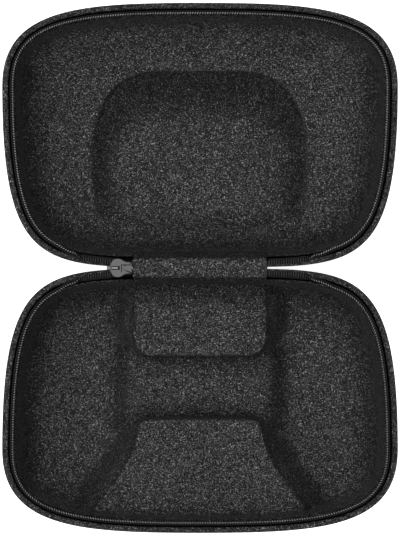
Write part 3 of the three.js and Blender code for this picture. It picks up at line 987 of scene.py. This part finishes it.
def flap(name, line, thickness, half_x, body):
    """Felt that runs on from the fold into one half; line is (y, z) from the half to the fold."""
    section = closed_band(line, thickness)
    rows = []
    for x in np.linspace(-half_x, half_x, 60):
        rows.append(np.column_stack([np.full(len(section), x), section]))
    obj = lofted(name, rows, FELT)
    at = np.array([v.co for v in obj.data.vertices]) / MM
    # painted shade on the flap beyond the fold strip, in the crease
    painted_shade = 0.95 * smoothstep((np.abs(at[:, 1]) - 4.2) / 1.5)
    mark(obj, np.column_stack([np.zeros(len(at)), painted_shade]))
    if body == "base":
        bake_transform(obj)
    else:
        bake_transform(obj)
    return obj


INNER_FLAP = [
    (8.0, 29.5), (7.35, 31.3), (6.7, 32.9), (6.05, 34.4), (5.4, 35.7), (4.85, 36.55), (4.2, 37.0),
]
OUTER_FLAP = [(0.62, 33.6), (0.9, 34.35), (1.6, 34.62), (2.6, 34.72), (3.7, 34.8)]
FLAP_HALF = 35.6
for half, side in SIDES.items():
    flap(f"fold_inner_flap_{half}", [(side * y, z) for y, z in INNER_FLAP], 0.9, FLAP_HALF, half)
    flap(f"fold_outer_flap_{half}", [(side * y, z) for y, z in OUTER_FLAP], 0.5, FLAP_HALF, half)


# ---------------------------------------------------------------- slider and pull
NOSE = -47.9


def pebble(name, outline, z0, z1, edge, material, steps=4):
    """A plate with rounded edges from a plan outline."""
    outline = np.array(outline, float)
    way = np.roll(outline, -1, 0) - np.roll(outline, 1, 0)
    way /= np.linalg.norm(way, axis=1)[:, None]
    normal = np.stack([way[:, 1], -way[:, 0]], 1)
    middle = outline.mean(0)
    if ((outline - middle) * normal).sum() < 0:
        normal = -normal
    rings = []
    turns = np.linspace(0, math.pi / 2, steps + 1)
    levels = [(edge * 1.5, z0)]
    levels += [(edge * (1 - math.sin(t)), z0 + edge * (1 - math.cos(t))) for t in turns]
    levels += [(edge * (1 - math.sin(t)), z1 - edge * (1 - math.cos(t))) for t in turns[::-1]]
    levels += [(edge * 1.5, z1)]
    for inset, z in levels:
        rings.append(np.column_stack([outline - normal * inset, np.full(len(outline), z)]))
    return lofted(name, rings, material)


def smooth_outline(half, steps=5):
    """A symmetric plan outline through (along, across) points, rounded by a spline."""
    p = np.array(half, float)
    ext = np.vstack([2 * p[0] - p[1], p, 2 * p[-1] - p[-2]])
    curve = []
    for i in range(1, len(ext) - 2):
        a, b, c, d = ext[i - 1], ext[i], ext[i + 1], ext[i + 2]
        for t in np.linspace(0, 1, steps, endpoint=False):
            square = (2 * a - 5 * b + 4 * c - d) * t**2
            cube = (3 * b - a - 3 * c + d) * t**3
            curve.append(0.5 * (2 * b + (c - a) * t + square + cube))
    curve.append(ext[-2])
    curve = np.array(curve)
    other = curve[::-1] * np.array([1, -1])
    return np.vstack([curve, other]) + np.array([NOSE, 0])


def block(name, x0, x1, y0, y1, z0, z1, material):
    corners = [(x0, y0), (x1, y0), (x1, y1), (x0, y1)]
    rings = [[(x, y, z) for x, y in corners] for z in (z0, z1)]
    return lofted(name, rings, material, smooth=False)


PLATE = [
    (0.0, 1.55), (0.3, 2.3), (1.4, 4.05), (2.7, 4.8), (3.9, 4.95), (5.3, 4.8),
    (6.3, 4.3), (7.6, 3.55), (9.0, 3.15), (11.0, 3.02), (11.6, 3.0),
]
plan = smooth_outline(PLATE)
top_plate = pebble("top", plan, RIM + 2.55, RIM + 3.6, 0.38, METAL)
low_plate = pebble("low", plan, RIM - 0.9, RIM + 0.0, 0.3, METAL)
# the cut faces take the painted shade material
cutters = [
    block("slot", NOSE + 0.45, NOSE + 5.1, -1.0, 0.9, RIM + 2.95, RIM + 5, RECESS),
    block("groove_a", NOSE + 5.8, NOSE + 6.2, -2.2, 1.8, RIM + 3.2, RIM + 5, RECESS),
    block("groove_b", NOSE + 5.8, NOSE + 11.3, 1.4, 1.8, RIM + 3.2, RIM + 5, RECESS),
]
carve(top_plate, cutters)
post = block("post", NOSE + 0.6, NOSE + 4.4, -0.85, 0.85, RIM - 0.2, RIM + 2.8, METAL)
parts = [top_plate, low_plate, post]
for side in (-1, 1):
    lip = side * 4.6
    parts.append(block("flange", -45.4, -42.4, lip - 0.22, lip + 0.22, RIM + 2.4, RIM + 2.9, METAL))
body = joined("slider_body", parts)
body.data.set_sharp_from_angle(angle=math.radians(10))
sloped = [abs(polygon.normal.z) < 0.98 for polygon in body.data.polygons]
body.data.polygons.foreach_set("use_smooth", sloped)
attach(body, "slider")
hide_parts("slider_body")

bar_plan = [
    (NOSE + 0.6, -0.4), (NOSE + 0.8, -0.55), (NOSE + 3.9, -0.55), (NOSE + 4.2, -0.4),
    (NOSE + 4.2, 0.35), (NOSE + 3.9, 0.5), (NOSE + 0.8, 0.5), (NOSE + 0.6, 0.35),
]
lock = pebble("slider_lock_bar", bar_plan, RIM + 3.0, RIM + 3.55, 0.18, BRIGHT)
lock.data.set_sharp_from_angle(angle=math.radians(10))
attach(lock, "slider")
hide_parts("slider_lock_bar")


def swept(name, line, section, material, across=(0.0, 1.0, 0.0)):
    """A bar of the given (out, across) section swept along a line in the XZ plane."""
    line = np.array(line, float)
    way = np.gradient(line, axis=0)
    way /= np.linalg.norm(way, axis=1)[:, None]
    side_way = np.array(across)
    out = np.cross(way, side_way)
    rows = []
    for i in range(len(line)):
        rows.append(line[i] + section[:, :1] * out[i] + section[:, 1:] * side_way)
    return lofted(name, rows, material)


def oval(a, b, power=0.7, count=16):
    t = np.linspace(0, 2 * math.pi, count, endpoint=False)
    c, s = np.cos(t), np.sin(t)
    return np.column_stack([a * np.sign(c) * np.abs(c) ** power, b * np.sign(s) * np.abs(s) ** power])


arch_ends = [
    (NOSE + 0.7, 0, RIM - 1.2), (NOSE + 0.5, 0, RIM - 5.3),
    (NOSE + 6.6, 0, RIM - 4.6), (NOSE + 8.0, 0, RIM - 1.2),
]
arch = bezier(arch_ends, 26)
cap = swept("slider_cap", arch, oval(0.42, 0.68), METAL)
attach(cap, "slider")
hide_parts("slider_cap")

PIVOT = np.array([NOSE + 1.9, 0.0, RIM - 2.55])
PULL_LEAN = 0.16
DOWN = np.array([-math.sin(PULL_LEAN), 0.0, -math.cos(PULL_LEAN)])
OUT = np.array([-math.cos(PULL_LEAN), 0.0, math.sin(PULL_LEAN)])
ACROSS = np.array([0.0, 1.0, 0.0])


def on_pull(out, across, down):
    return PIVOT + np.outer(out, OUT) + np.outer(across, ACROSS) + np.outer(down, DOWN)


def link_line(count=72):
    half, length = 1.45, 5.4
    t = np.linspace(0, 2 * math.pi, count, endpoint=False)
    c, s = np.cos(t), np.sin(t)
    across = half * np.sign(c) * np.abs(c) ** 0.35
    down = length / 2 + length / 2 * np.sign(s) * np.abs(s) ** 0.3
    return on_pull(np.zeros(count), across, down)


line = link_line()
way = np.roll(line, -1, 0) - np.roll(line, 1, 0)
way /= np.linalg.norm(way, axis=1)[:, None]
second = np.cross(way, np.broadcast_to(OUT, way.shape))
WIRE = 0.45
rows = []
for a in np.linspace(0, 2 * math.pi, 10, endpoint=False):
    rows.append(line + WIRE * math.cos(a) * OUT + WIRE * math.sin(a) * second)
rows = np.stack(rows, 1)
wire = lofted("pull_link", list(rows) + [rows[0]], METAL, capped=False)
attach(wire, "pull")
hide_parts("pull_link")

tongue = []
for down, out, across in [
    (5.9, 0.35, 1.0), (6.15, 0.7, 1.25), (6.8, 0.88, 1.38), (9, 0.9, 1.4), (14, 0.9, 1.4),
    (20, 0.9, 1.4), (24.5, 0.9, 1.4), (26, 0.88, 1.32), (26.7, 0.7, 1.0), (27, 0.4, 0.6),
]:
    shape = oval(out, across, 0.45, 24)
    tongue.append(on_pull(shape[:, 0], shape[:, 1], np.full(24, down)))
strip = lofted("strip", tongue, LEATHER)
turns = np.linspace(0, 2 * math.pi, 28, endpoint=False)
eye = []
for radius, across in [(0.62, -0.62), (1.1, -0.66), (1.3, -0.5), (1.3, 0.5), (1.1, 0.66), (0.62, 0.62)]:
    eye.append(on_pull(np.cos(turns) * radius, np.full(28, across), 5.4 + np.sin(turns) * radius))
eye_obj = lofted("eye", eye + [eye[0]], LEATHER, capped=False)
stitches = []
for down in np.arange(8.0, 25.6, 1.45):
    for side in (-1, 1):
        for face in (-1, 1):
            shape = oval(0.12, 0.14, 1.0, 8)
            bits = []
            for share in (0.0, 0.15, 0.5, 0.85, 1.0):
                size = 1.0 if 0 < share < 1 else 0.3
                out = face * 0.9 + shape[:, 0] * size
                across = side * 1.0 + shape[:, 1] * size
                bits.append(on_pull(out, across, np.full(8, down + share * 0.95)))
            stitches.append(lofted("stitch", bits, THREAD))
tab = joined("pull_tab", [strip, eye_obj] + stitches)
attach(tab, "pull")
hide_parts("pull_tab")


# ---------------------------------------------------------------- floor, light, camera
FLOOR_GLOW = 0.9
ROOM_LIGHT = 0.1
FLOOR_HALF = 3000
FLOOR_Z = -0.2


def floor_material():
    """White paper that gives off some light of its own."""
    made, tree, shader = material("paper_floor")
    shader.inputs["Base Color"].default_value = (0.9, 0.9, 0.9, 1)
    shader.inputs["Roughness"].default_value = 0.9
    shader.inputs["Specular IOR Level"].default_value = 0.1
    shader.inputs["Emission Color"].default_value = (1, 1, 1, 1)
    shader.inputs["Emission Strength"].default_value = FLOOR_GLOW
    return made


corners = [(x * FLOOR_HALF, y * FLOOR_HALF, FLOOR_Z) for x, y in ((-1, -1), (1, -1), (1, 1), (-1, 1))]
floor = make("floor", corners, [(0, 1, 2, 3)], floor_material(), smooth=False)

scene = bpy.context.scene
world = bpy.data.worlds.new("room")
world.use_nodes = True
world.node_tree.nodes["Background"].inputs[0].default_value = (1, 1, 1, 1)
world.node_tree.nodes["Background"].inputs[1].default_value = ROOM_LIGHT
scene.world = world


def lamp(name, place, aim, size, watts):
    data = bpy.data.lights.new(name, "AREA")
    data.shape = "DISK"
    data.size = size
    data.energy = watts
    obj = bpy.data.objects.new(name, data)
    obj.location = place
    obj.rotation_euler = (Vector(aim) - Vector(place)).to_track_quat("-Z", "Y").to_euler()
    scene.collection.objects.link(obj)
    return obj


lamp("softbox", (-0.45, 0.0, 1.45), (-0.15, 0, 0), 4.0, 77.0)

camera_data = bpy.data.cameras.new("camera")
camera_data.sensor_fit = "HORIZONTAL"
camera_data.sensor_width = 36.0
camera = bpy.data.objects.new("camera", camera_data)
HEIGHT = 1.25
FRAME_WIDTH = 400 * 0.535 * MM  # what the picture's width takes in at the rim's height
camera.location = (0.0, 0.0002, HEIGHT)
camera.rotation_euler = (0, 0, 0)
camera_data.lens = camera_data.sensor_width * (HEIGHT - RIM * MM) / FRAME_WIDTH
scene.collection.objects.link(camera)
scene.camera = camera
scene.view_settings.view_transform = "Standard"
